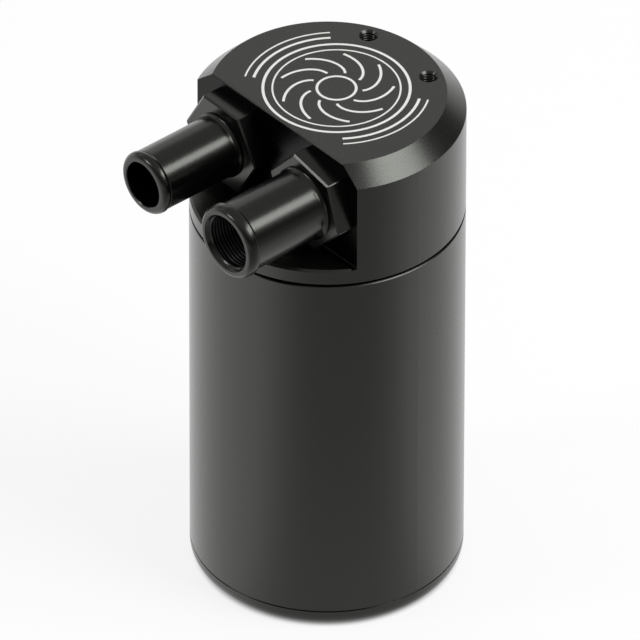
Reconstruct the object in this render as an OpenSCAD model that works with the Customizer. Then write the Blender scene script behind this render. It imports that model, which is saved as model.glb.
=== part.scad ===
// Oil catch can for an engine bay: a machined head with two hose tails, a screw-on can
// and a baffle stack that hangs from the head inside the can.
// Units are millimetres. +Z is up, the origin is the centre of the base on the floor,
// the hose tails point to -Y. Screw threads are drawn as plain cylinders.

/* [Can] */
// Outer diameter of the can and of the head
can_d = 76.2; // [72:0.1:84]
// Wall of the can tube
can_wall = 4; // [3.6:0.1:5]
// Height of the tube's upper rim above the floor
can_h = 118.3; // [104:0.1:140]
// Depth of the step in the tube's upper rim that holds the can seal
seal_step_h = 2; // [1.6:0.1:3]
// Radial width of the can seal
seal_w = 1.9; // [1.6:0.1:2.2]
// Open gap that the can seal keeps between tube and head
seam_gap = 0.6; // [0.3:0.1:1.2]
// Small chamfer on the outer edges at the head's seam
edge_break = 0.35; // [0.2:0.05:0.5]

/* [Base cap] */
// Thickness of the base cap's rim, below the tube
base_rim_h = 5.6; // [4.2:0.1:7]
// Small chamfer on the outer edges at the base cap's seam
base_break = 0.2; // [0.1:0.05:0.4]
// Rounding of the base cap's lower outer edge
base_round = 4; // [1:0.1:4.2]
// Thickness of the base cap's floor
base_floor_h = 11.6; // [10:0.1:14]
// Height of the threaded plug above the base cap's rim
base_plug_h = 13; // [11:0.1:18]
// Wall of the threaded plug above the floor
base_plug_wall = 5; // [4:0.1:8]
// Diameter of the shallow recess turned in the underside
base_recess_d = 50; // [40:0.5:60]
// Depth of the shallow recess turned in the underside
base_recess_h = 0.8; // [0.4:0.1:1.2]
// Width of the groove for the base seal
base_groove_h = 2.6; // [2.2:0.1:3]
// Depth of the groove for the base seal
base_groove_depth = 1.9; // [1.6:0.1:2.2]

/* [Drain plug] */
// Thread diameter of the drain plug
drain_thread_d = 10; // [8:0.5:12]
// Diameter of the drain plug's head
drain_head_d = 14; // [13:0.1:16]
// Thickness of the drain plug's head
drain_head_h = 2.8; // [2.4:0.1:3.2]
// Thickness of the sealing washer
drain_washer_h = 1; // [0.8:0.1:1.4]
// Hexagon key size of the drain plug
drain_key = 5; // [4:0.5:6]
// Gap round the plug's head in its counterbore
drain_head_gap = 1.2; // [0.6:0.1:2]

/* [Head] */
// Height of the head above the seam
head_h = 37.5; // [35:0.1:46]
// Chamfer round the head's top edge
top_chamfer = 5.3; // [3:0.1:7]
// Distance from the can's axis to the front flat
flat_y = 18.4; // [17:0.1:22]
// Height of the band that is left below the front flat
band_h = 4.9; // [3.5:0.1:5.5]
// Chamfer on the band's upper outer edge
band_chamfer = 0.65; // [0.3:0.05:1]
// Fillet between the front flat and the band
flat_fillet = 1; // [0.5:0.1:1.5]
// Length of the threaded spigot below the seam
spigot_h = 15; // [13:0.1:20]
// Wall of the spigot round its inner recess
spigot_wall = 5.5; // [4.5:0.1:7]
// Height of the inner recess above the seam
recess_rise = 2; // [0:0.1:3]
// Running gap between spigot and tube
spigot_clear = 0.08; // [0.05:0.01:0.1]

/* [Bracket holes] */
// Distance between the two tapped holes in the head's top
bracket_spacing = 25; // [22:0.1:30]
// Distance of the tapped holes from the back of the head
bracket_edge = 12.3; // [11:0.1:15]
// Drilled diameter of the tapped holes
bracket_hole_d = 4.2; // [3.3:0.1:5]
// Depth of the tapped holes
bracket_hole_h = 12; // [8:0.5:16]
// Countersink diameter of the tapped holes
bracket_sink_d = 5.4; // [5.2:0.1:6.5]

/* [Ports] */
// Distance between the two ports
port_spacing = 35; // [34:0.1:37]
// Height of the port axes above the middle of the flat
port_lift = 0.2; // [0:0.1:0.5]
// Thread diameter of both ports
port_thread_d = 22.2; // [21:0.1:22.6]
// Depth of the port thread behind the flat
port_thread_h = 14; // [12:0.1:15]
// Radial width of the port seal's seat
port_seal_w = 2.3; // [2:0.1:2.5]
// Depth of the port seal's seat
port_seal_h = 2; // [1.8:0.1:2.4]
// Bore from the port thread to the down passage
port_bore_d = 15; // [13:0.1:15.4]
// Diameter of the down passages
passage_d = 16; // [15.6:0.1:17]
// Wall between the down passages and the spigot's inner recess
passage_gap = 3; // [2:0.1:4]
// Distance of the down passages behind the can's axis
passage_y = 2; // [0:0.1:3]

/* [Hose tails] */
// Size across the flats of both hexagons
hex_af = 25.4; // [25:0.1:27]
// Thickness of the hexagons
hex_h = 5.4; // [4.5:0.1:7]
// Chamfer along the hexagons' front edges
hex_break = 0.5; // [0.3:0.1:0.8]
// Depth turned off the hexagons' sharp corners
hex_corner_break = 0.08; // [0.04:0.02:0.2]
// Room round the hexagons, cut into the band where it comes too near
hex_room = 0.8; // [0.5:0.1:1.5]
// Turn of the large fitting's hexagon, as it came to rest when it was tightened
large_hex_turn = -12; // [-30:0.5:30]
// Length of the threaded stems behind the hexagons
stem_h = 11; // [9:0.1:11.8]
// Length of the low round collar in front of the hexagon
collar_h = 0.6; // [0.4:0.1:2.5]
// Height of the collar over the barrel
collar_rise = 0.55; // [0.4:0.05:1.2]
// Fillet from the collar's edge down to the barrel
collar_fillet = 1.8; // [1.2:0.1:2.5]
// Width of the flat face round the mouths
bead_face = 0.9; // [0.5:0.1:1.2]
// Length of a bead's rear slope
bead_fall = 0.8; // [0.5:0.1:1.2]
// Depth of the narrow groove behind the beads
bead_groove = 0.2; // [0.1:0.05:0.3]
// Diameter of the small fitting's barrel
small_barrel_d = 18; // [17:0.1:19]
// Reach of the small fitting in front of the flat
small_reach = 33.5; // [26:0.1:40]
// Length of the small fitting's bead
small_bead_h = 2.7; // [2:0.1:4]
// Height of the small fitting's bead over its barrel
small_bead_rise = 0.3; // [0.2:0.05:0.8]
// Bore of the small fitting
small_bore_d = 13.6; // [11:0.1:14]
// Small chamfer on the inner edge of the small fitting's mouth
small_mouth_break = 0.2; // [0.1:0.05:0.4]
// Diameter of the large fitting's barrel
large_barrel_d = 20.4; // [20:0.1:22.5]
// Reach of the large fitting in front of the flat
large_reach = 33.8; // [26:0.1:40]
// Length of the large fitting's bead
large_bead_h = 3.6; // [2.5:0.1:5]
// Height of the large fitting's bead over its barrel
large_bead_rise = 0.75; // [0.4:0.05:1]
// Plain mouth of the large fitting
large_mouth_d = 17.2; // [16.8:0.1:17.6]
// Depth of the large fitting's plain mouth
large_mouth_h = 1.9; // [1:0.1:4]
// Outer diameter of the thread inside the large fitting
large_thread_d = 16.4; // [15.6:0.1:16.6]
// Depth of the thread inside the large fitting
large_thread_h = 13; // [9:0.1:16]
// Bore of the large fitting behind its thread
large_bore_d = 14; // [12:0.1:14.6]

/* [Baffle] */
// Thickness of both perforated plates
plate_t = 1.5; // [1.2:0.1:2]
// Radial gap between the plates and the tube
plate_clear = 0.6; // [0.4:0.1:1]
// Gap between the spigot and the upper plate
plate_gap = 1; // [0.5:0.1:2]
// Diameter of the holes in the plates
perf_d = 4; // [3:0.1:4.4]
// Distance between the rings of holes in the plates
perf_pitch = 6.6; // [6:0.1:8]
// Thickness of the wire pad between the plates
pad_h = 20; // [14:0.5:26]
// Wall of the drop tube
drop_wall = 1; // [0.6:0.1:1.5]
// Depth of the drop tube's press fit in the head
drop_seat_h = 6; // [4:0.1:7]
// Reach of the drop tube below the lower plate
drop_reach = 14; // [8:0.5:22]
// Slant of the drop tube's lower end
drop_slant = 30; // [15:1:40]
// Gap between the posts' corners and the spigot's inner recess
post_gap = 0.9; // [0.5:0.1:2]
// Gap between the two front posts' corners and the down passages
post_tube_gap = 1.1; // [0.6:0.1:2]
// Size across the flats of the posts
post_af = 8; // [7:0.1:8]
// Stud diameter at the upper end of the posts
post_stud_d = 5; // [4:0.1:5]
// Stud length at the upper end of the posts
post_stud_h = 4.6; // [3.5:0.1:5]
// Thread diameter of the plate screws
screw_d = 4; // [3:0.1:4.2]
// Reach of the plate screws into the posts
screw_reach = 8; // [5:0.1:10]
// Outer diameter of the spacer tubes
spacer_d = 6.4; // [6:0.1:7]

/* [Hidden] */
$fn = 96;

// Overshoot of cutters past the faces that they cut
over = 1;
// Radial gap between two screwed pieces, whose threads are drawn plain
thread_clear = 0.05;
// Gap round a piece that only passes through a hole
pass_clear = 0.2;

can_r = can_d / 2;
bore_r = can_r - can_wall;
seam_z = can_h + seam_gap;
top_z = seam_z + head_h;
ledge_z = seam_z + band_h;
spigot_r = bore_r - spigot_clear;
spigot_z = seam_z - spigot_h;
recess_r = spigot_r - spigot_wall;
recess_z = seam_z + recess_rise;
seal_r = spigot_r + thread_clear;
seal_out_r = seal_r + seal_w;
relief_h = 2.4;
relief_depth = 0.9;

bracket_y = can_r - bracket_edge;
bracket_sink_h = (bracket_sink_d - bracket_hole_d) / 2;
port_x = port_spacing / 2;
port_z = (ledge_z + top_z) / 2 + port_lift;
passage_x = recess_r - passage_gap - passage_d / 2;
hex_corner_r = hex_af / 2 / cos(30);
port_seal_r = port_thread_d / 2 - relief_depth;
port_seal_out_r = port_seal_r + port_seal_w;

base_plug_r = bore_r - thread_clear;
base_plug_z = base_rim_h + base_plug_h;
base_groove_z = base_rim_h + 2;
base_groove_r = base_plug_r - base_groove_depth;
drain_seat_z = drain_head_h + drain_washer_h + 0.4;
drain_head_z = drain_seat_z - drain_washer_h - drain_head_h;

plate_r = bore_r - plate_clear;
upper_z = spigot_z - plate_gap - plate_t;
pad_z = upper_z - pad_h;
lower_z = pad_z - plate_t;
drop_z = lower_z - drop_reach;
screw_head_d = 1.75 * screw_d;
screw_key = 0.75 * screw_d;
post_corner_r = post_af / 2 / cos(30);
post_r = recess_r - post_gap - post_corner_r;
post_turn = side_angle(post_r, norm([passage_x, passage_y]),
                       passage_d / 2 + post_tube_gap + post_corner_r) - atan(passage_y / passage_x);
post_angles = [90, 180 + post_turn, -post_turn];

// Angle between two sides a and b of a triangle, opposite its third side c
function side_angle(a, b, c) = acos((a * a + b * b - c * c) / (2 * a * b));

// Ring with a plain rectangular section
module ring(r_in, r_out, z, h) {
  translate([0, 0, z])
    difference() {
      cylinder(r = r_out, h = h);
      translate([0, 0, -over])
        cylinder(r = r_in, h = h + 2 * over);
    }
}

// Rubber ring whose round cord is pressed flat by the walls of its seat
module pressed_ring(r_in, r_out, z, h) {
  round_r = min(r_out - r_in, h) / 3;
  rotate_extrude()
    union() {
      translate([r_in, z + round_r])
        square([r_out - r_in, h - 2 * round_r]);
      translate([r_in + round_r, z])
        square([r_out - r_in - 2 * round_r, h]);
      for (r = [r_in + round_r, r_out - round_r], y = [z + round_r, z + h - round_r])
        translate([r, y])
          circle(r = round_r, $fn = 32);
    }
}

// Turned cutter that takes a 45 degree edge off a disc's rim, below z
module rim_break_above(r, z, b) {
  rotate_extrude()
    polygon([[r - b, z], [r, z - b], [r + over, z - b], [r + over, z + over], [r - b, z + over]]);
}

// The same for the lower edge of a rim
module rim_break_below(r, z, b) {
  rotate_extrude()
    polygon([[r - b, z], [r, z + b], [r + over, z + b], [r + over, z - over], [r - b, z - over]]);
}

// Puts a shape that points along +Z on a port, pointing to the front
module at_port(side) {
  translate([side * port_x, -flat_y, port_z])
    rotate([90, 0, 0])
      children();
}

// Copies a shape to the place of one post
module at_post(i) {
  translate([post_r * cos(post_angles[i]), post_r * sin(post_angles[i]), 0])
    children();
}

// Head's turned outside: disc with a chamfered top, and the spigot with its thread relief
module head_blank() {
  rotate_extrude()
    polygon([
      [0, top_z], [can_r - top_chamfer, top_z], [can_r, top_z - top_chamfer],
      [can_r, seam_z + edge_break], [can_r - edge_break, seam_z], [spigot_r, seam_z],
      [spigot_r, seam_z - seal_step_h - 1], [spigot_r - relief_depth, seam_z - seal_step_h - 1],
      [spigot_r - relief_depth, seam_z - seal_step_h - 1 - relief_h],
      [spigot_r, seam_z - seal_step_h - 1 - relief_h],
      [spigot_r, spigot_z + 1], [spigot_r - 1, spigot_z], [recess_r, spigot_z],
      [recess_r, recess_z - 2], [recess_r - 2, recess_z], [0, recess_z]
    ]);
}

// Milled front: everything ahead of the flat and above the band, with a filleted corner
module front_cut() {
  translate([-can_r - over, 0, 0])
    rotate([90, 0, 90])
      linear_extrude(height = can_d + 2 * over)
        union() {
          translate([-can_r - over, ledge_z + flat_fillet])
            square([can_r + over - flat_y, head_h]);
          translate([-can_r - over, ledge_z])
            square([can_r + over - flat_y - flat_fillet, head_h]);
          translate([-flat_y - flat_fillet, ledge_z + flat_fillet])
            circle(r = flat_fillet, $fn = 48);
          polygon([[-flat_y - over, top_z + over], [-flat_y + edge_break + over, top_z + over],
                   [-flat_y - over, top_z - edge_break - over]]);
        }
}

module head() {
  color("#2b2b2d")
    difference() {
      head_blank();
      front_cut();
      intersection() {
        rim_break_above(can_r, ledge_z, band_chamfer);
        translate([-can_r - over, -can_r - over, ledge_z - over])
          cube([can_d + 2 * over, can_r + over - flat_y - flat_fillet, 2 * over]);
      }
      for (side = [-1, 1]) {
        translate([side * bracket_spacing / 2, bracket_y, top_z - bracket_hole_h])
          cylinder(d = bracket_hole_d, h = bracket_hole_h + over);
        translate([side * bracket_spacing / 2, bracket_y, top_z - bracket_sink_h])
          cylinder(d1 = bracket_hole_d, d2 = bracket_sink_d + 2 * over, h = bracket_sink_h + over);
        at_port(side) {
          cylinder(r = hex_corner_r + hex_room, h = can_r);
          translate([0, 0, -port_seal_h])
            cylinder(r = port_seal_out_r, h = port_seal_h + over);
          translate([0, 0, -port_thread_h])
            cylinder(d = port_thread_d, h = port_thread_h + over);
          translate([0, 0, -flat_y - passage_y - passage_d / 4])
            cylinder(d = port_bore_d, h = flat_y + passage_y);
        }
        translate([side * passage_x, passage_y, recess_z - over])
          cylinder(d = passage_d, h = port_z - recess_z + over + 2);
      }
      for (i = [0:2])
        at_post(i)
          translate([0, 0, recess_z - over])
            cylinder(d = post_stud_d + 2 * thread_clear, h = post_stud_h + 0.4 + over);
    }
}

module can_tube() {
  color("#2b2b2d")
    difference() {
      ring(bore_r, can_r, base_rim_h, can_h - base_rim_h);
      translate([0, 0, can_h - seal_step_h])
        cylinder(r = seal_out_r + thread_clear, h = seal_step_h + over);
      rim_break_above(can_r, can_h, edge_break);
      rim_break_below(can_r, base_rim_h, base_break);
    }
}

module can_seal() {
  color("#111111")
    pressed_ring(seal_r, seal_out_r, can_h - seal_step_h, seal_step_h + seam_gap);
}

// Base cap: rim with a rounded lower edge, threaded plug, floor, and a drain hole
module base_cap() {
  color("#2b2b2d")
    difference() {
      rotate_extrude()
        difference() {
          union() {
            square([can_r, base_rim_h]);
            square([base_plug_r, base_plug_z]);
          }
          translate([can_r - base_round, 0])
            difference() {
              translate([0, -over])
                square([base_round + over, base_round + over]);
              translate([0, base_round])
                circle(r = base_round, $fn = 64);
            }
          translate([base_groove_r, base_groove_z])
            square([base_groove_depth + over, base_groove_h]);
          translate([-over, base_floor_h])
            square([base_plug_r - base_plug_wall + over, base_plug_h]);
          translate([-over, -over])
            square([base_recess_d / 2 + over, base_recess_h + over]);
        }
      rim_break_above(can_r, base_rim_h, base_break);
      translate([0, 0, -over])
        cylinder(d = drain_thread_d, h = base_floor_h + 2 * over);
      translate([0, 0, -over])
        cylinder(d = drain_head_d + 2 * drain_head_gap, h = drain_seat_z + over);
    }
}

module base_seal() {
  color("#111111")
    pressed_ring(base_groove_r, bore_r, base_groove_z, base_groove_h);
}

module drain_plug() {
  color("#8a8d90")
    difference() {
      union() {
        translate([0, 0, drain_head_z])
          cylinder(d = drain_head_d, h = drain_head_h);
        translate([0, 0, drain_head_z])
          cylinder(d = drain_thread_d - 2 * thread_clear, h = base_floor_h - drain_head_z - 0.4);
      }
      rim_break_below(drain_head_d / 2, drain_head_z, edge_break);
      translate([0, 0, drain_head_z - over])
        cylinder(d = drain_key / cos(30), h = drain_key + over, $fn = 6);
    }
}

module drain_washer() {
  color("#b5793f")
    ring(drain_thread_d / 2, drain_head_d / 2, drain_seat_z - drain_washer_h, drain_washer_h);
}

// Points along an arc of an ellipse with centre c and half axes r, from angle a0 to a1
function arc(c, r, a0, a1, n = 8) =
  [for (i = [0:n]) let (a = a0 + (a1 - a0) * i / n) [c.x + r.x * cos(a), c.y + r.y * sin(a)]];

// Hexagon with broken front edges and turned corners, from z = 0 to hex_h
module hexagon(turn) {
  rotate([0, 0, turn])
    intersection() {
      difference() {
        cylinder(r = hex_corner_r, h = hex_h, $fn = 6);
        for (i = [0:5])
          rotate([0, 0, 60 * i + 30])
            translate([hex_af / 2 - hex_break, -hex_corner_r, hex_h])
              rotate([0, 45, 0])
                cube([hex_corner_r, 2 * hex_corner_r, hex_corner_r]);
      }
      translate([0, 0, -over])
        cylinder(r = hex_corner_r - hex_corner_break, h = hex_h + 2 * over);
    }
}

// Hose tail from its threaded stem to its tip, along +Z with the hexagon's seat at z = 0
module hose_tail(barrel_d, reach, turn, mouth_d, bead_h, bead_rise) {
  stem_r = port_thread_d / 2 - thread_clear;
  barrel_r = barrel_d / 2;
  edge_z = hex_h + collar_h;
  fillet_turn = acos(1 - collar_rise / collar_fillet);
  face_r = mouth_d / 2 + bead_face;
  crest_r = barrel_r + bead_rise;
  crest_z = reach - bead_h + bead_fall;
  groove_r = barrel_r - bead_groove;
  hexagon(turn);
  translate([0, 0, -port_seal_h])
    cylinder(r = port_seal_r, h = port_seal_h + over);
  rotate_extrude()
    polygon([
      [0, -stem_h], [stem_r - 1, -stem_h], [stem_r, 1 - stem_h], [stem_r, -port_seal_h - 0.3],
      [port_seal_r, -port_seal_h], [0, -port_seal_h]
    ]);
  rotate_extrude()
    polygon(concat(
      [[0, 0], [barrel_r + collar_rise, 0]],
      arc([barrel_r + collar_fillet, edge_z + collar_fillet * sin(fillet_turn)],
          [collar_fillet, collar_fillet], 180 + fillet_turn, 180),
      [[barrel_r, reach - bead_h - bead_groove]],
      arc([groove_r, crest_z], [crest_r - groove_r, bead_fall], -90, 0),
      arc([face_r, crest_z], [crest_r - face_r, reach - crest_z], 0, 90),
      [[0, reach]]
    ));
}

module small_fitting() {
  color("#1d1d1f")
    at_port(-1)
      difference() {
        hose_tail(small_barrel_d, small_reach, 0, small_bore_d, small_bead_h, small_bead_rise);
        translate([0, 0, -stem_h - over])
          cylinder(d = small_bore_d, h = stem_h + small_reach + 2 * over);
        translate([0, 0, small_reach - small_mouth_break])
          cylinder(d1 = small_bore_d, d2 = small_bore_d + 2 * (small_mouth_break + over),
                   h = small_mouth_break + over);
      }
}

module large_fitting() {
  color("#1d1d1f")
    at_port(1)
      difference() {
        hose_tail(large_barrel_d, large_reach, large_hex_turn, large_mouth_d, large_bead_h,
                  large_bead_rise);
        translate([0, 0, -stem_h - over])
          cylinder(d = large_bore_d, h = stem_h + large_reach + 2 * over);
        translate([0, 0, large_reach - large_mouth_h - large_thread_h])
          cylinder(d = large_thread_d, h = large_thread_h + large_mouth_h + over);
        translate([0, 0, large_reach - large_mouth_h])
          cylinder(d = large_mouth_d, h = large_mouth_h + over);
      }
}

module port_seal(side) {
  color("#111111")
    at_port(side)
      pressed_ring(port_seal_r, port_seal_out_r, -port_seal_h, port_seal_h);
}

module small_fitting_seal() {
  port_seal(-1);
}

module large_fitting_seal() {
  port_seal(1);
}

// Pressed into the small port's passage, with a slanted lower end
module drop_tube() {
  slant_h = passage_d * tan(drop_slant);
  color("#a9adb1")
    difference() {
      translate([-passage_x, passage_y, 0])
        ring(passage_d / 2 - drop_wall, passage_d / 2, drop_z, recess_z + drop_seat_h - drop_z);
      translate([-passage_x - passage_d / 2, passage_y - passage_d, drop_z])
        rotate([0, drop_slant, 0])
          translate([-passage_d, 0, -slant_h - 2 * over])
            cube([3 * passage_d, 2 * passage_d, slant_h + 2 * over]);
    }
}

// Centres of the perforations: rings of holes that keep clear of tube, posts and rim
function ring_points(k) = [for (i = [0:6 * k - 1]) k * perf_pitch * [cos(60 * i / k), sin(60 * i / k)]];
function is_clear(p) =
  norm(p) < plate_r - perf_d
  && norm(p - [-passage_x, passage_y]) > passage_d / 2 + perf_d
  && min([for (a = post_angles) norm(p - post_r * [cos(a), sin(a)])]) > post_af / 2 + perf_d;
perf_points = [for (k = [1:floor(plate_r / perf_pitch)]) for (p = ring_points(k)) if (is_clear(p)) p];

// Disc with a hole for the drop tube and three for the screws or spacers
module baffle_disc(r, z, h, post_hole_d) {
  difference() {
    translate([0, 0, z])
      cylinder(r = r, h = h);
    translate([-passage_x, passage_y, z - over])
      cylinder(r = passage_d / 2 + pass_clear, h = h + 2 * over);
    for (i = [0:2])
      at_post(i)
        translate([0, 0, z - over])
          cylinder(d = post_hole_d + pass_clear, h = h + 2 * over);
  }
}

module perforated_plate(z) {
  color("#b4b7ba")
    difference() {
      baffle_disc(plate_r, z, plate_t, screw_d);
      for (p = perf_points)
        translate([p.x, p.y, z - over])
          cylinder(d = perf_d, h = plate_t + 2 * over, $fn = 32);
    }
}

module upper_plate() {
  perforated_plate(upper_z);
}

module lower_plate() {
  perforated_plate(lower_z);
}

module mesh_pad() {
  color("#8f9396")
    baffle_disc(plate_r - pass_clear, pad_z, pad_h, spacer_d);
}

module post(i) {
  color("#c0c3c6")
    at_post(i)
      difference() {
        union() {
          translate([0, 0, upper_z + plate_t])
            cylinder(r = post_corner_r, h = recess_z - upper_z - plate_t, $fn = 6);
          translate([0, 0, recess_z - over])
            cylinder(d = post_stud_d, h = post_stud_h + over);
        }
        translate([0, 0, upper_z + plate_t - over])
          cylinder(d = screw_d + 2 * thread_clear, h = screw_reach + 1 + over);
      }
}

module post_1() {
  post(0);
}

module post_2() {
  post(1);
}

module post_3() {
  post(2);
}

module spacer(i) {
  color("#c0c3c6")
    at_post(i)
      ring(screw_d / 2 + pass_clear / 2, spacer_d / 2, pad_z, pad_h);
}

module spacer_1() {
  spacer(0);
}

module spacer_2() {
  spacer(1);
}

module spacer_3() {
  spacer(2);
}

// Three socket head screws, from below the lower plate into the posts
module plate_screws() {
  color("#8a8d90")
    for (i = [0:2])
      at_post(i)
        difference() {
          union() {
            translate([0, 0, lower_z - screw_d])
              cylinder(d = screw_head_d, h = screw_d);
            translate([0, 0, lower_z - screw_d])
              cylinder(d = screw_d, h = screw_d + 2 * plate_t + pad_h + screw_reach);
          }
          translate([0, 0, lower_z - screw_d - over])
            cylinder(d = screw_key / cos(30), h = screw_d / 2 + over, $fn = 6);
        }
}

head();
can_tube();
base_cap();
can_seal();
base_seal();
drain_plug();
drain_washer();
small_fitting();
small_fitting_seal();
large_fitting();
large_fitting_seal();
drop_tube();
upper_plate();
mesh_pad();
lower_plate();
post_1();
post_2();
post_3();
spacer_1();
spacer_2();
spacer_3();
plate_screws();
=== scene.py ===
# Oil catch can: finishes, screw threads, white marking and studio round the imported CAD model
import bpy
import math
import numpy as np
from mathutils import Matrix, Vector


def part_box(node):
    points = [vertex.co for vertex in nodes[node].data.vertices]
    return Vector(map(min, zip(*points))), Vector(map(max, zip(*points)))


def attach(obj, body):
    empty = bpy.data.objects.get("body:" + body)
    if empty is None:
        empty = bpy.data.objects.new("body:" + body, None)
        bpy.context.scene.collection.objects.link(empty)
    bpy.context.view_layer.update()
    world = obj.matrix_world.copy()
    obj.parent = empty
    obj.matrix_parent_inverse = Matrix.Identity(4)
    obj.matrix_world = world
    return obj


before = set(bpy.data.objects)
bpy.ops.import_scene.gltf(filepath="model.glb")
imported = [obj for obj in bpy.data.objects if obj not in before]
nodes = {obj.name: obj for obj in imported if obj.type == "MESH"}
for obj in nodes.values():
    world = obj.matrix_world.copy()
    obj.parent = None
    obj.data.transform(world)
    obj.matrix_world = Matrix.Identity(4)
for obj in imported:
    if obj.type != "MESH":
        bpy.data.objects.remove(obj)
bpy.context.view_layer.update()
mm = 0.001

# the CAD boxes give the places that finishes and added pieces keep to
headLow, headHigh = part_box("head")
tubeLow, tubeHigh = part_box("can_tube")
largeLow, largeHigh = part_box("large_fitting")
mouthCentre = (largeLow + largeHigh) / 2
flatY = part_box("large_fitting_seal")[0].y    # the seal's front face is level with the milled flat
topZ = headHigh.z
print("stage: frame loaded,", len(nodes), "nodes")


def hexColour(text):
    # sRGB hex to the linear values that a socket takes
    channels = [int(text[i:i + 2], 16) / 255 for i in (1, 3, 5)]
    linear = [c / 12.92 if c <= 0.04045 else ((c + 0.055) / 1.055) ** 2.4 for c in channels]
    return (*linear, 1.0)


def addNode(tree, kind, settings=None, **links):
    # settings hold the node's properties and fixed sockets, and links the outputs that feed its sockets;
    # a socket goes by its name or number, written in links with _ for a space or before the number
    node = tree.nodes.new(kind)
    for name, value in (settings or {}).items():
        if isinstance(name, str) and name[0].islower():
            setattr(node, name, value)
        else:
            node.inputs[name].default_value = value
    for name, source in links.items():
        socket = node.inputs[int(name[1:])] if name[1:].isdigit() else node.inputs[name.replace("_", " ")]
        tree.links.new(source, socket)
    return node


def newMaterial(name):
    material = bpy.data.materials.new(name)
    material.use_nodes = True
    tree = material.node_tree
    tree.nodes.clear()
    shader = addNode(tree, "ShaderNodeBsdfPrincipled")
    addNode(tree, "ShaderNodeOutputMaterial", Surface=shader.outputs["BSDF"])
    return material, tree, shader


grainNoise = {"Detail": 3.0, "Roughness": 0.6}
noiseLow, noiseHigh = 0.3, 0.7    # nearly all of a noise's values lie between these


def grainBump(tree, shader, place, size, height, strength):
    # fine grain from noise whose cells are about size across, as a bump of the given height
    noise = addNode(tree, "ShaderNodeTexNoise", {"Scale": 1 / size, **grainNoise}, Vector=place)
    bump = addNode(tree, "ShaderNodeBump", {"Strength": strength, "Distance": height},
                   Height=noise.outputs["Fac"])
    tree.links.new(bump.outputs["Normal"], shader.inputs["Normal"])
    return noise


def roughnessRange(tree, shader, noise, low, high):
    spread = addNode(tree, "ShaderNodeMapRange", {
        "From Min": noiseLow, "From Max": noiseHigh, "To Min": low, "To Max": high},
        Value=noise.outputs["Fac"])
    tree.links.new(spread.outputs["Result"], shader.inputs["Roughness"])


anodisedTint = (0.97, 1.0, 0.92, 1.0)    # the black dye's faint olive cast

blasted = {
    "colour": "#090a08",
    "paler": "#0e0f0d",
    "ior": 1.55,
    "paintedShadeColour": "#010101",    # painted shade on the milled flat behind the fittings and on the joints' broken edges, blacker than the rest
    # and less shine there, as part of the painted shade
    "paintedShadeIor": 1.22,
    "flatY": flatY - 0.5 * mm,
    "flatHalf": 0.55 * mm,   # the painted shade takes in the flat and the fillet at its foot
    "flatFrom": 123.7 * mm,  # just under the ledge at the flat's foot
    "joints": [(tubeLow.z, 0.23 * mm), (tubeHigh.z, 0.17 * mm)],    # broken edges at the tube's ends, painted black as shade in the joints
    "grain": 0.22 * mm,      # bead-blasted pits, about 0.1 mm, drawn a little coarser to show
    "depth": 0.004 * mm,
    "strength": 0.6,
    "roughness": (0.24, 0.3),
    "cloud": 14 * mm,        # slow change of the dye over the surface
    "cloudDetail": 2.0,
}


def blastedBlackAnodised():
    # bead-blasted aluminium with a black dyed oxide layer: satin, dark, paler at a grazing angle, with
    # painted shade, blacker and less shiny, on the flat behind the fittings and at the joints
    material, tree, shader = newMaterial("blasted black anodised aluminium and painted shade")
    place = addNode(tree, "ShaderNodeTexCoord").outputs["Object"]
    noise = grainBump(tree, shader, place, blasted["grain"], blasted["depth"], blasted["strength"])
    roughnessRange(tree, shader, noise, *blasted["roughness"])
    cloud = addNode(tree, "ShaderNodeTexNoise", {
        "Scale": 1 / blasted["cloud"], "Detail": blasted["cloudDetail"]}, Vector=place)
    dye = addNode(tree, "ShaderNodeMix", {
        "data_type": "RGBA", 6: hexColour(blasted["colour"]), 7: hexColour(blasted["paler"])},
        _0=cloud.outputs["Fac"])
    axes = addNode(tree, "ShaderNodeSeparateXYZ", _0=place)
    # painted shade: a mask over the flat behind the fittings above its foot, and over the tube's broken edges
    # at the joints
    near = addNode(tree, "ShaderNodeMath", {
        "operation": "COMPARE", 1: blasted["flatY"], 2: blasted["flatHalf"]}, _0=axes.outputs["Y"])
    above = addNode(tree, "ShaderNodeMath", {
        "operation": "GREATER_THAN", 1: blasted["flatFrom"]}, _0=axes.outputs["Z"])
    paintedShade = addNode(tree, "ShaderNodeMath", {"operation": "MULTIPLY"}, _0=near.outputs[0], _1=above.outputs[0])
    # painted shade over the broken edges in the joints, so that they catch no highlight
    for height, half in blasted["joints"]:
        jointShadeMask = addNode(tree, "ShaderNodeMath", {
            "operation": "COMPARE", 1: height, 2: half}, _0=axes.outputs["Z"])
        paintedShade = addNode(tree, "ShaderNodeMath", {"operation": "MAXIMUM"},
                       _0=paintedShade.outputs[0], _1=jointShadeMask.outputs[0])
    # where the mask is set, painted shade replaces the dye's colour and weakens the shine
    shade = addNode(tree, "ShaderNodeMix", {"data_type": "RGBA", 7: hexColour(blasted["paintedShadeColour"])},
                    _0=paintedShade.outputs[0], _6=dye.outputs[2])
    tree.links.new(shade.outputs[2], shader.inputs["Base Color"])
    gloss = addNode(tree, "ShaderNodeMapRange", {"To Min": blasted["ior"], "To Max": blasted["paintedShadeIor"]},
                    Value=paintedShade.outputs[0])
    tree.links.new(gloss.outputs["Result"], shader.inputs["IOR"])
    shader.inputs["Specular Tint"].default_value = anodisedTint
    return material


turned = {
    "colour": "#030303",
    "ior": 1.5,
    "lineWidth": 0.25 * mm,  # tool feed marks, about 0.1 mm apart, drawn coarser to show
    "stretch": (0.02, 1.0, 0.02),    # noise that changes along Y alone, as rings round the hose tails
    "depth": 0.0015 * mm,
    "strength": 0.35,
    "roughness": (0.22, 0.27),
}


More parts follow.
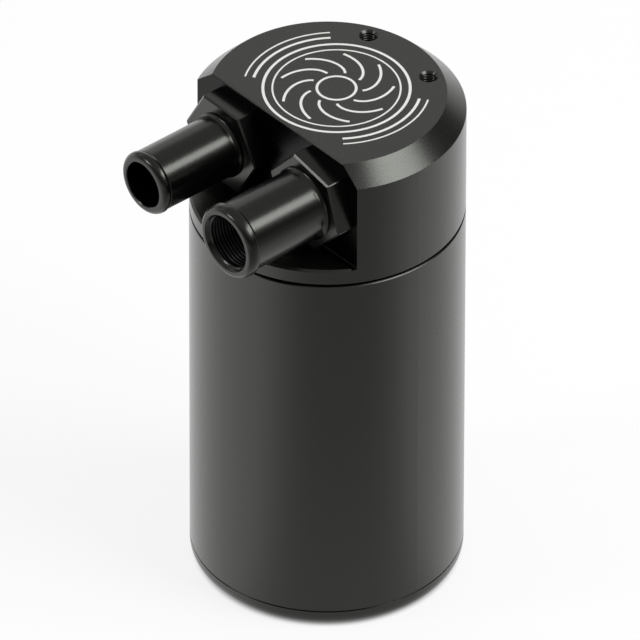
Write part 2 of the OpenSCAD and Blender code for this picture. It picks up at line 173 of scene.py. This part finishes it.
def turnedBlackAnodised():
    # turned aluminium, black anodised without blasting: smoother and glossier, with fine rings round Y
    material, tree, shader = newMaterial("turned black anodised aluminium")
    place = addNode(tree, "ShaderNodeTexCoord").outputs["Object"]
    rings = addNode(tree, "ShaderNodeMapping", {"Scale": turned["stretch"]}, Vector=place).outputs["Vector"]
    noise = grainBump(tree, shader, rings, turned["lineWidth"], turned["depth"], turned["strength"])
    roughnessRange(tree, shader, noise, *turned["roughness"])
    shader.inputs["Base Color"].default_value = hexColour(turned["colour"])
    shader.inputs["IOR"].default_value = turned["ior"]
    shader.inputs["Specular Tint"].default_value = anodisedTint
    return material


plainFinishes = {
    # moulded rubber: matt, with a soft sheen
    "nitrile rubber": {
        "colour": "#0d0d0d", "metallic": 0.0, "roughness": (0.5, 0.65), "grain": 0.3 * mm},
    # milled and left bare: a bright, slightly satin metal
    "bare machined aluminium": {
        "colour": "#c9cbce", "metallic": 1.0, "roughness": (0.28, 0.4), "grain": 0.15 * mm},
    # rolled: a greyer metal
    "stainless steel sheet": {
        "colour": "#b9babc", "metallic": 1.0, "roughness": (0.3, 0.42), "grain": 0.4 * mm},
    # plated: a cool grey, a little uneven
    "zinc plated steel": {
        "colour": "#a9abad", "metallic": 1.0, "roughness": (0.3, 0.45), "grain": 0.6 * mm},
    # softened by heat: a dull reddish metal
    "annealed copper": {
        "colour": "#b87a55", "metallic": 1.0, "roughness": (0.3, 0.45), "grain": 0.5 * mm},
    # the dye burnt out of the oxide by a laser: chalky white
    "white laser mark": {
        "colour": "#f2f2ee", "metallic": 0.0, "roughness": (0.6, 0.75), "grain": 0.1 * mm},
    # cut in the bore and anodised black: dark, with little shine down in the grooves
    "cut thread": {
        "colour": "#050505", "metallic": 0.0, "roughness": (0.3, 0.4), "grain": 0.1 * mm, "ior": 1.3},
}
plainGrain = (0.003 * mm, 0.5)    # the bump's height and strength


def plainFinish(name):
    # a finish with its own grain and uneven gloss, and no other pattern
    values = plainFinishes[name]
    material, tree, shader = newMaterial(name)
    place = addNode(tree, "ShaderNodeTexCoord").outputs["Object"]
    noise = grainBump(tree, shader, place, values["grain"], *plainGrain)
    roughnessRange(tree, shader, noise, *values["roughness"])
    shader.inputs["Base Color"].default_value = hexColour(values["colour"])
    shader.inputs["Metallic"].default_value = values["metallic"]
    if "ior" in values:
        shader.inputs["IOR"].default_value = values["ior"]
    return material


materials = {name: plainFinish(name) for name in plainFinishes}
materials["blasted"] = blastedBlackAnodised()
materials["turned"] = turnedBlackAnodised()

finishedNodes = {
    "blasted": ["head", "can_tube", "base_cap"],
    "turned": ["small_fitting", "large_fitting"],
    "nitrile rubber": ["can_seal", "base_seal", "small_fitting_seal", "large_fitting_seal"],
    "bare machined aluminium": [
        "drop_tube", "post_1", "post_2", "post_3", "spacer_1", "spacer_2", "spacer_3"],
    "stainless steel sheet": ["upper_plate", "lower_plate", "mesh_pad"],
    "zinc plated steel": ["drain_plug", "plate_screws"],
    "annealed copper": ["drain_washer"],
}
for finish, names in finishedNodes.items():
    for name in names:
        for slot in nodes[name].material_slots:
            slot.material = materials[finish]
print("stage: finishes on CAD nodes")


def gridMesh(name, points, material, closeU=False, closeV=False):
    # points is an array (rows, columns, 3); quads join neighbours, and close flags join the ends
    rows, columns = points.shape[:2]
    index = np.arange(rows * columns).reshape(rows, columns)
    if closeU:
        index = np.vstack([index, index[:1]])
    if closeV:
        index = np.hstack([index, index[:, :1]])
    faces = np.stack([index[:-1, :-1], index[:-1, 1:], index[1:, 1:], index[1:, :-1]], axis=-1).reshape(-1, 4)
    mesh = bpy.data.meshes.new(name)
    mesh.from_pydata(points.reshape(-1, 3).tolist(), [], faces.tolist())
    mesh.shade_smooth()
    mesh.materials.append(material)
    piece = bpy.data.objects.new(name, mesh)
    bpy.context.scene.collection.objects.link(piece)
    return piece


def fullTurn(count):
    # the angles of count points spread round a circle
    return np.linspace(0, 2 * np.pi, count + 1)[:-1]


ridge = {
    "foot": 0.47,            # half widths of its foot and its crest, as shares of the pitch
    "crest": 0.06,
    "sink": 0.08,            # its feet go into the wall by this share of its height
    "fade": 0.5,             # turns over which it grows out of the wall at both ends
    "endSink": 0.02 * mm,    # and how deep in the wall it starts
}


def helixThread(name, thread, origin, along, across, material):
    # a thread in a bore: a ridge wound round an axis, its feet in the wall and its crest inside, t in turns;
    # point(t, s) = origin + along * pitch * (t + a half + foot(s)) + radius(t, s) * (cos t, sin t) across it,
    # radius(t, s) = wall - height * lift(s) * fade(t), and fade falls from 1 to 0 at both ends
    along, across = np.array(along, float), np.array(across, float)
    third = np.cross(along, across)
    turns = thread["length"] / thread["pitch"] - 1
    t = np.linspace(0, turns, int(turns * thread["perTurn"]) + 1)
    fade = np.clip(np.minimum(t, turns - t) / ridge["fade"], 0, 1)[:, None]
    feet = np.array([-ridge["foot"], -ridge["crest"], ridge["crest"], ridge["foot"]]) * thread["pitch"]
    lift = np.array([-ridge["sink"], 1, 1, -ridge["sink"]])
    radius = thread["wall"] - (thread["wall"] - thread["crest"]) * lift * fade + ridge["endSink"] * (1 - fade)
    angle = 2 * np.pi * t[:, None]
    height = (t[:, None] + 0.5) * thread["pitch"] + feet
    points = np.array(origin) + height[..., None] * along \
        + (radius * np.cos(angle))[..., None] * across + (radius * np.sin(angle))[..., None] * third
    return gridMesh(name, points, material)


spigotThread = {
    "radius": 34.03 * mm,    # the spigot's wall is at 34.02 mm and the seal slides past at 34.07 mm
    "lift": 0.015 * mm,
    "low": 1.1 * mm,         # ends above the spigot's lower edge
    "high": 9.4 * mm,
    "pitch": 2 * mm,
    "rowsPerPitch": 8,
    "around": 180,
    "endSink": 0.1 * mm,     # its first and last row lie this deep in the wall
    "depth": 0.7 * mm,       # what the shading shows of the thread
    "roughness": 0.3,
}


def spigotFinish():
    # black anodised like the head, with the thread's relief wound round Z:
    # height = distance of (z / pitch - angle / turn) from a whole number, up to a half
    material, tree, shader = newMaterial("black anodised screw thread")
    axes = addNode(tree, "ShaderNodeSeparateXYZ", _0=addNode(tree, "ShaderNodeTexCoord").outputs["Object"])
    angle = addNode(tree, "ShaderNodeMath", {"operation": "ARCTAN2"},
                    _0=axes.outputs["Y"], _1=axes.outputs["X"])
    turns = addNode(tree, "ShaderNodeMath", {"operation": "DIVIDE", 1: 2 * math.pi}, _0=angle.outputs[0])
    rows = addNode(tree, "ShaderNodeMath", {
        "operation": "DIVIDE", 1: spigotThread["pitch"]}, _0=axes.outputs["Z"])
    phase = addNode(tree, "ShaderNodeMath", {"operation": "SUBTRACT"},
                    _0=rows.outputs[0], _1=turns.outputs[0])
    relief = addNode(tree, "ShaderNodeMath", {"operation": "PINGPONG", 1: 0.5}, _0=phase.outputs[0])
    bump = addNode(tree, "ShaderNodeBump", {"Strength": 1.0, "Distance": 2 * spigotThread["depth"]},
                   Height=relief.outputs[0])
    tree.links.new(bump.outputs["Normal"], shader.inputs["Normal"])
    shader.inputs["Base Color"].default_value = hexColour(blasted["colour"])
    shader.inputs["IOR"].default_value = blasted["ior"]
    shader.inputs["Roughness"].default_value = spigotThread["roughness"]
    return material


def spigotSleeve():
    # a thin sleeve on the spigot: point(z, t) = (radius * cos t, radius * sin t, z), whose radius grows by
    # lift * 2 * distance of (z / pitch - t / turn) from a whole number
    step = spigotThread["pitch"] / spigotThread["rowsPerPitch"]
    z = headLow.z + np.arange(spigotThread["low"], spigotThread["high"], step)[:, None]
    turn = fullTurn(spigotThread["around"])
    phase = z / spigotThread["pitch"] - turn / (2 * np.pi)
    radius = spigotThread["radius"] + 2 * spigotThread["lift"] * np.abs(phase - np.round(phase))
    radius[[0, -1]] = spigotThread["radius"] - spigotThread["endSink"]
    points = np.stack([radius * np.cos(turn), radius * np.sin(turn), z + 0 * radius], axis=-1)
    return gridMesh("spigot_thread", points, spigotFinish(), closeV=True)


spigot = spigotSleeve()
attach(spigot, "head_assembly")

mouthThread = {
    "wall": 8.2 * mm,
    "crest": 7.75 * mm,
    "pitch": 1.05 * mm,
    "length": 12.6 * mm,
    "depth": 1.9 * mm,       # starts this far inside the mouth
    "perTurn": 96,
}
mouthLead = {
    # the mouth's cone, step and first groove, as depths and radii in mm
    "profile": [(0.12, 8.62), (0.2, 8.54), (1.12, 8.16), (1.2, 8.1),
                (1.5, 7.72), (1.6, 7.66), (1.9, 7.7), (2.4, 8.25)],
    "around": 96,
}


def mouthLeadIn():
    # point(i, t) = mouth centre + depth_i along Y + radius_i * (cos t, sin t) across it
    turn = fullTurn(mouthLead["around"])
    depth, radius = (np.array(mouthLead["profile"]) * mm).T[..., None]
    points = np.stack([mouthCentre.x + radius * np.cos(turn), largeLow.y + depth + 0 * turn,
                       mouthCentre.z + radius * np.sin(turn)], axis=-1)
    return gridMesh("mouth_lead_in", points, materials["turned"], closeV=True)


mouth = helixThread("mouth_thread", mouthThread,
                    (mouthCentre.x, largeLow.y + mouthThread["depth"], mouthCentre.z),
                    (0, 1, 0), (1, 0, 0), materials["cut thread"])
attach(mouth, "head_assembly")

lead = mouthLeadIn()
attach(lead, "head_assembly")

bracketThread = {
    "wall": 2.1 * mm,
    "crest": 1.78 * mm,
    "pitch": 0.8 * mm,
    "length": 10 * mm,
    "sink": 0.6 * mm,        # starts this far under the head's top
    "spacing": 25 * mm,
    "y": 25.8 * mm,
    "perTurn": 48,
}
for side, word in ((-1, "left"), (1, "right")):
    origin = (side * bracketThread["spacing"] / 2, bracketThread["y"], topZ - bracketThread["sink"])
    thread = helixThread("bracket_thread_" + word, bracketThread, origin,
                         (0, 0, -1), (1, 0, 0), materials["blasted"])
    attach(thread, "head_assembly")
print("stage: screw threads")

marking = {
    "centre": (0, 3.2 * mm),
    "rings": [(20.2 * mm, 0.8 * mm), (17.6 * mm, 0.5 * mm), (5.4 * mm, 0.75 * mm)],    # radius and width
    "arcs": [(23.2 * mm, 0.8 * mm), (25.6 * mm, 0.5 * mm)],
    "arcHalf": math.radians(37),
    "vanes": 9,
    "vaneFrom": 7.2 * mm,
    "vaneTo": 15.8 * mm,
    "vaneSweep": math.radians(52),
    "vaneBend": 1.3,         # above 1 the vane bends more towards its tip
    "vaneWidth": 0.75 * mm,
    "thick": 0.03 * mm,
    "ringPoints": 144,
    "arcPoints": 49,
    "vanePoints": 25,
}


def markStrip(name, line, width, closed=False):
    # a ribbon along a line of plane points on the head's top, whose section is a box, width by thick
    step = np.roll(line, -1, 0) - np.roll(line, 1, 0) if closed else np.gradient(line, axis=0)
    side = np.stack([-step[:, 1], step[:, 0]], 1) / np.linalg.norm(step, axis=1)[:, None] * width / 2
    left, right = line + side, line - side
    low = np.full((len(line), 1), topZ)
    high = np.full((len(line), 1), topZ + marking["thick"])
    points = np.stack([np.hstack([left, low]), np.hstack([left, high]),
                       np.hstack([right, high]), np.hstack([right, low])], axis=1)
    piece = gridMesh(name, points, materials["white laser mark"], closeU=closed)
    piece.data.shade_flat()
    return piece


def markTop():
    # rings and swept vanes, as on a fan, round one centre, between two pairs of arcs;
    # each line is centre + radius * (cos a, sin a), and along a vane both radius and a grow from root to tip
    centre = np.array(marking["centre"])
    pieces = []
    a = fullTurn(marking["ringPoints"])
    for i, (radius, width) in enumerate(marking["rings"]):
        line = centre + radius * np.stack([np.cos(a), np.sin(a)], 1)
        pieces.append(markStrip("mark_ring_%d" % (i + 1), line, width, closed=True))
    a = np.linspace(-1, 1, marking["arcPoints"]) * marking["arcHalf"]
    for side, word in ((-1, "left"), (1, "right")):
        for i, (radius, width) in enumerate(marking["arcs"]):
            line = centre + radius * np.stack([side * np.cos(a), np.sin(a)], 1)
            pieces.append(markStrip("mark_arc_%s_%d" % (word, i + 1), line[::side], width))
    share = np.linspace(0, 1, marking["vanePoints"])
    radius = marking["vaneFrom"] + (marking["vaneTo"] - marking["vaneFrom"]) * share
    for i in range(marking["vanes"]):
        a = 2 * np.pi * i / marking["vanes"] + marking["vaneSweep"] * share ** marking["vaneBend"]
        line = centre + radius[:, None] * np.stack([np.cos(a), np.sin(a)], 1)
        pieces.append(markStrip("mark_vane_%d" % (i + 1), line, marking["vaneWidth"]))
    return pieces


for piece in markTop():
    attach(piece, "head_assembly")
print("stage: marking")

dimSide = {"towards": (0.95, 0.3, 0), "share": 0.35}    # the share of the glow left far off on this side

paper = {
    "radius": 0.9,
    "rings": [1.0, 0.4, 0.15, 0.002],    # as shares of the radius
    "around": 96,
    "gap": 0.05 * mm,        # keeps the paper off the underside
    "colour": "#7c7c7c",
    "cameraGlow": 0.82,      # added for camera rays, so that it reads as white paper
    "contactShadow": (34.5 * mm, 38 * mm),    # painted contact shadow: radii between which the camera glow starts, so the paper darkens under the rim
    "mirrorGlow": 1.04,      # added for mirror rays, to the sides and behind
    "front": (0.857, -0.515, 0),
    "frontSpread": (0.45, 0.97),    # cosines off the front, from the side's glow to the front's
    "frontGlow": 0.36,       # in front, where the paper ends in a darker room
    "nearGlow": 0.56,        # in front, close to the can
    "nearReach": (0.05, 0.17),    # metres from the can's axis, from the near glow to the far one
    "dimReach": (0.04, 0.6),      # metres towards the dim side over which the glow drops
}


def studioFloor():
    # white paper: lit by the lamps, with its own glow added for camera and mirror rays, and clear from below;
    # point(i, t) = ring_i * radius * (cos t, sin t)
    # less camera glow in a ring round the can paints its contact shadow
    turn = fullTurn(paper["around"])
    rim = np.stack([np.cos(turn), np.sin(turn), 0 * turn], 1)
    rings = np.array(paper["rings"]) * paper["radius"]
    material = bpy.data.materials.new("white paper with painted contact shadow")
    floor = gridMesh("floor", rings[:, None, None] * rim, material, closeV=True)
    floor.location.z = -paper["gap"]
    material.use_nodes = True
    tree = material.node_tree
    tree.nodes.clear()
    place = addNode(tree, "ShaderNodeTexCoord").outputs["Object"]
    far = addNode(tree, "ShaderNodeVectorMath", {"operation": "LENGTH"}, _0=place).outputs["Value"]
    away = addNode(tree, "ShaderNodeVectorMath", {"operation": "NORMALIZE"}, _0=place)
    ahead = addNode(tree, "ShaderNodeVectorMath", {
        "operation": "DOT_PRODUCT", 1: paper["front"]}, _0=away.outputs[0])
    front = addNode(tree, "ShaderNodeMapRange", {
        "From Min": paper["nearReach"][0], "From Max": paper["nearReach"][1],
        "To Min": paper["nearGlow"], "To Max": paper["frontGlow"]}, Value=far)
    mirror = addNode(tree, "ShaderNodeMapRange", {
        "interpolation_type": "SMOOTHSTEP", "From Min": paper["frontSpread"][0],
        "From Max": paper["frontSpread"][1], "To Min": paper["mirrorGlow"]},
        Value=ahead.outputs["Value"], To_Max=front.outputs["Result"])
    beside = addNode(tree, "ShaderNodeVectorMath", {
        "operation": "DOT_PRODUCT", 1: dimSide["towards"]}, _0=place)
    fading = addNode(tree, "ShaderNodeMapRange", {
        "From Min": paper["dimReach"][0], "From Max": paper["dimReach"][1],
        "To Min": 1.0, "To Max": dimSide["share"]}, Value=beside.outputs["Value"])
    dimmed = addNode(tree, "ShaderNodeMath", {"operation": "MULTIPLY"},
                     _0=mirror.outputs[0], _1=fading.outputs[0])
    # painted contact shadow: the camera glow falls to nothing towards the can's foot
    contactShadow = addNode(tree, "ShaderNodeMapRange", {
        "interpolation_type": "SMOOTHSTEP", "From Min": paper["contactShadow"][0], "From Max": paper["contactShadow"][1],
        "To Max": paper["cameraGlow"]}, Value=far)
    path = addNode(tree, "ShaderNodeLightPath")
    shader = addNode(tree, "ShaderNodeBsdfDiffuse", {"Color": hexColour(paper["colour"])}).outputs["BSDF"]
    for ray, strength in (("Is Camera Ray", contactShadow.outputs["Result"]), ("Is Glossy Ray", dimmed.outputs[0])):
        glow = addNode(tree, "ShaderNodeEmission", Strength=strength)
        both = addNode(tree, "ShaderNodeAddShader", _0=shader, _1=glow.outputs["Emission"])
        mix = addNode(tree, "ShaderNodeMixShader", _0=path.outputs[ray], _1=shader, _2=both.outputs["Shader"])
        shader = mix.outputs["Shader"]
    below = addNode(tree, "ShaderNodeNewGeometry").outputs["Backfacing"]
    clear = addNode(tree, "ShaderNodeBsdfTransparent").outputs["BSDF"]
    sheet = addNode(tree, "ShaderNodeMixShader", _0=below, _1=shader, _2=clear)
    addNode(tree, "ShaderNodeOutputMaterial", Surface=sheet.outputs["Shader"])


room = {
    "horizonGlow": 1.0,      # white paper that curves up behind, as mirror rays see it
    "dimSpread": (0.3, 0.8),    # cosines off the dim side over which the horizon dims
    "skyGlow": 0.1,          # dim grey room above it
    "overheadGlow": 0.52,    # and its paler ceiling
    "skyRise": (0.35, 0.85),    # heights of a direction, from the sky to the ceiling
    "horizonRise": (0.03, 0.17),    # and from the horizon to the sky
    "backdrop": 1.0,         # white, as the camera sees it
}


def studioWorld():
    # white for the camera, and for all other rays a pale horizon, a dim sky and a paler ceiling
    world = bpy.data.worlds.new("pale room")
    bpy.context.scene.world = world
    world.use_nodes = True
    tree = world.node_tree
    tree.nodes.clear()
    way = addNode(tree, "ShaderNodeTexCoord").outputs["Generated"]
    beside = addNode(tree, "ShaderNodeVectorMath", {
        "operation": "DOT_PRODUCT", 1: dimSide["towards"]}, _0=way)
    horizon = addNode(tree, "ShaderNodeMapRange", {
        "From Min": room["dimSpread"][0], "From Max": room["dimSpread"][1], "To Min": room["horizonGlow"],
        "To Max": room["horizonGlow"] * dimSide["share"]}, Value=beside.outputs["Value"])
    height = addNode(tree, "ShaderNodeSeparateXYZ", _0=way).outputs["Z"]
    sky = addNode(tree, "ShaderNodeMapRange", {
        "From Min": room["skyRise"][0], "From Max": room["skyRise"][1],
        "To Min": room["skyGlow"], "To Max": room["overheadGlow"]}, Value=height)
    rise = addNode(tree, "ShaderNodeMapRange", {
        "interpolation_type": "SMOOTHSTEP",
        "From Min": room["horizonRise"][0], "From Max": room["horizonRise"][1]},
        Value=height, To_Min=horizon.outputs["Result"], To_Max=sky.outputs["Result"])
    glow = addNode(tree, "ShaderNodeBackground", {"Color": (1, 1, 1, 1)}, Strength=rise.outputs["Result"])
    white = addNode(tree, "ShaderNodeBackground", {"Color": (1, 1, 1, 1), "Strength": room["backdrop"]})
    path = addNode(tree, "ShaderNodeLightPath")
    mix = addNode(tree, "ShaderNodeMixShader", _0=path.outputs["Is Camera Ray"],
                  _1=glow.outputs[0], _2=white.outputs[0])
    addNode(tree, "ShaderNodeOutputWorld", Surface=mix.outputs["Shader"])


lamps = {
    # directions from the can, distance and size in metres
    "key softbox": {"towards": (0.61, 0.33, 0.73), "distance": 1.3, "size": (0.8, 0.44), "watts": 9.5},
    "back card": {"towards": (-0.74, 0.57, 0.36), "distance": 1.6, "size": (1.3, 1.2), "watts": 3.8},
    "front card": {"towards": (-0.37, -0.707, 0.601), "distance": 1.3, "size": (0.26, 0.26), "watts": 2.4},
    "left card": {"towards": (-0.9, -0.25, 0.35), "distance": 1.6, "size": (0.9, 1.2), "watts": 2},
}
lampAim = Vector((0, 0, 0.08))    # the middle of the can


def studioLamps():
    for name, values in lamps.items():
        light = bpy.data.lights.new(name, "AREA")
        light.shape = "RECTANGLE"
        light.size, light.size_y = values["size"]
        light.energy = values["watts"]
        lamp = bpy.data.objects.new(name, light)
        away = Vector(values["towards"]).normalized()
        lamp.location = away * values["distance"] + lampAim
        lamp.rotation_euler = away.to_track_quat("Z", "Y").to_euler()
        bpy.context.scene.collection.objects.link(lamp)


photo = {
    "azimuth": math.radians(48.90),
    "elevation": math.radians(37.262),
    "roll": math.radians(0.126),
    "distance": 6.0,
    "lens": 1222.7,
    "sensor": 36,
    "clip": (0.5, 9.0),
    "target": (0, 0, 0.0822),
    "left": 1.986 * mm,      # how far the aim lies left of the target and below it
    "below": 3.240 * mm,
}


def photoCamera():
    # far off with a long lens, turned by the azimuth from the front, raised by the elevation and then rolled
    a, e, r = photo["azimuth"], photo["elevation"], photo["roll"]
    back = Vector((math.sin(a) * math.cos(e), -math.cos(a) * math.cos(e), math.sin(e)))
    level = Vector((math.cos(a), math.sin(a), 0))
    right = math.cos(r) * level + math.sin(r) * back.cross(level)
    up = back.cross(right)
    aim = Vector(photo["target"]) - photo["left"] * right - photo["below"] * up
    data = bpy.data.cameras.new("photo camera")
    data.lens = photo["lens"]
    data.sensor_width = photo["sensor"]
    data.clip_start, data.clip_end = photo["clip"]
    camera = bpy.data.objects.new("photo camera", data)
    camera.matrix_world = Matrix.Translation(aim + back * photo["distance"]) \
        @ Matrix((right, up, back)).transposed().to_4x4()
    bpy.context.scene.collection.objects.link(camera)
    bpy.context.scene.camera = camera


studioFloor()
studioWorld()
studioLamps()
photoCamera()
bpy.context.scene.view_settings.view_transform = "Standard"
print("stage: studio")
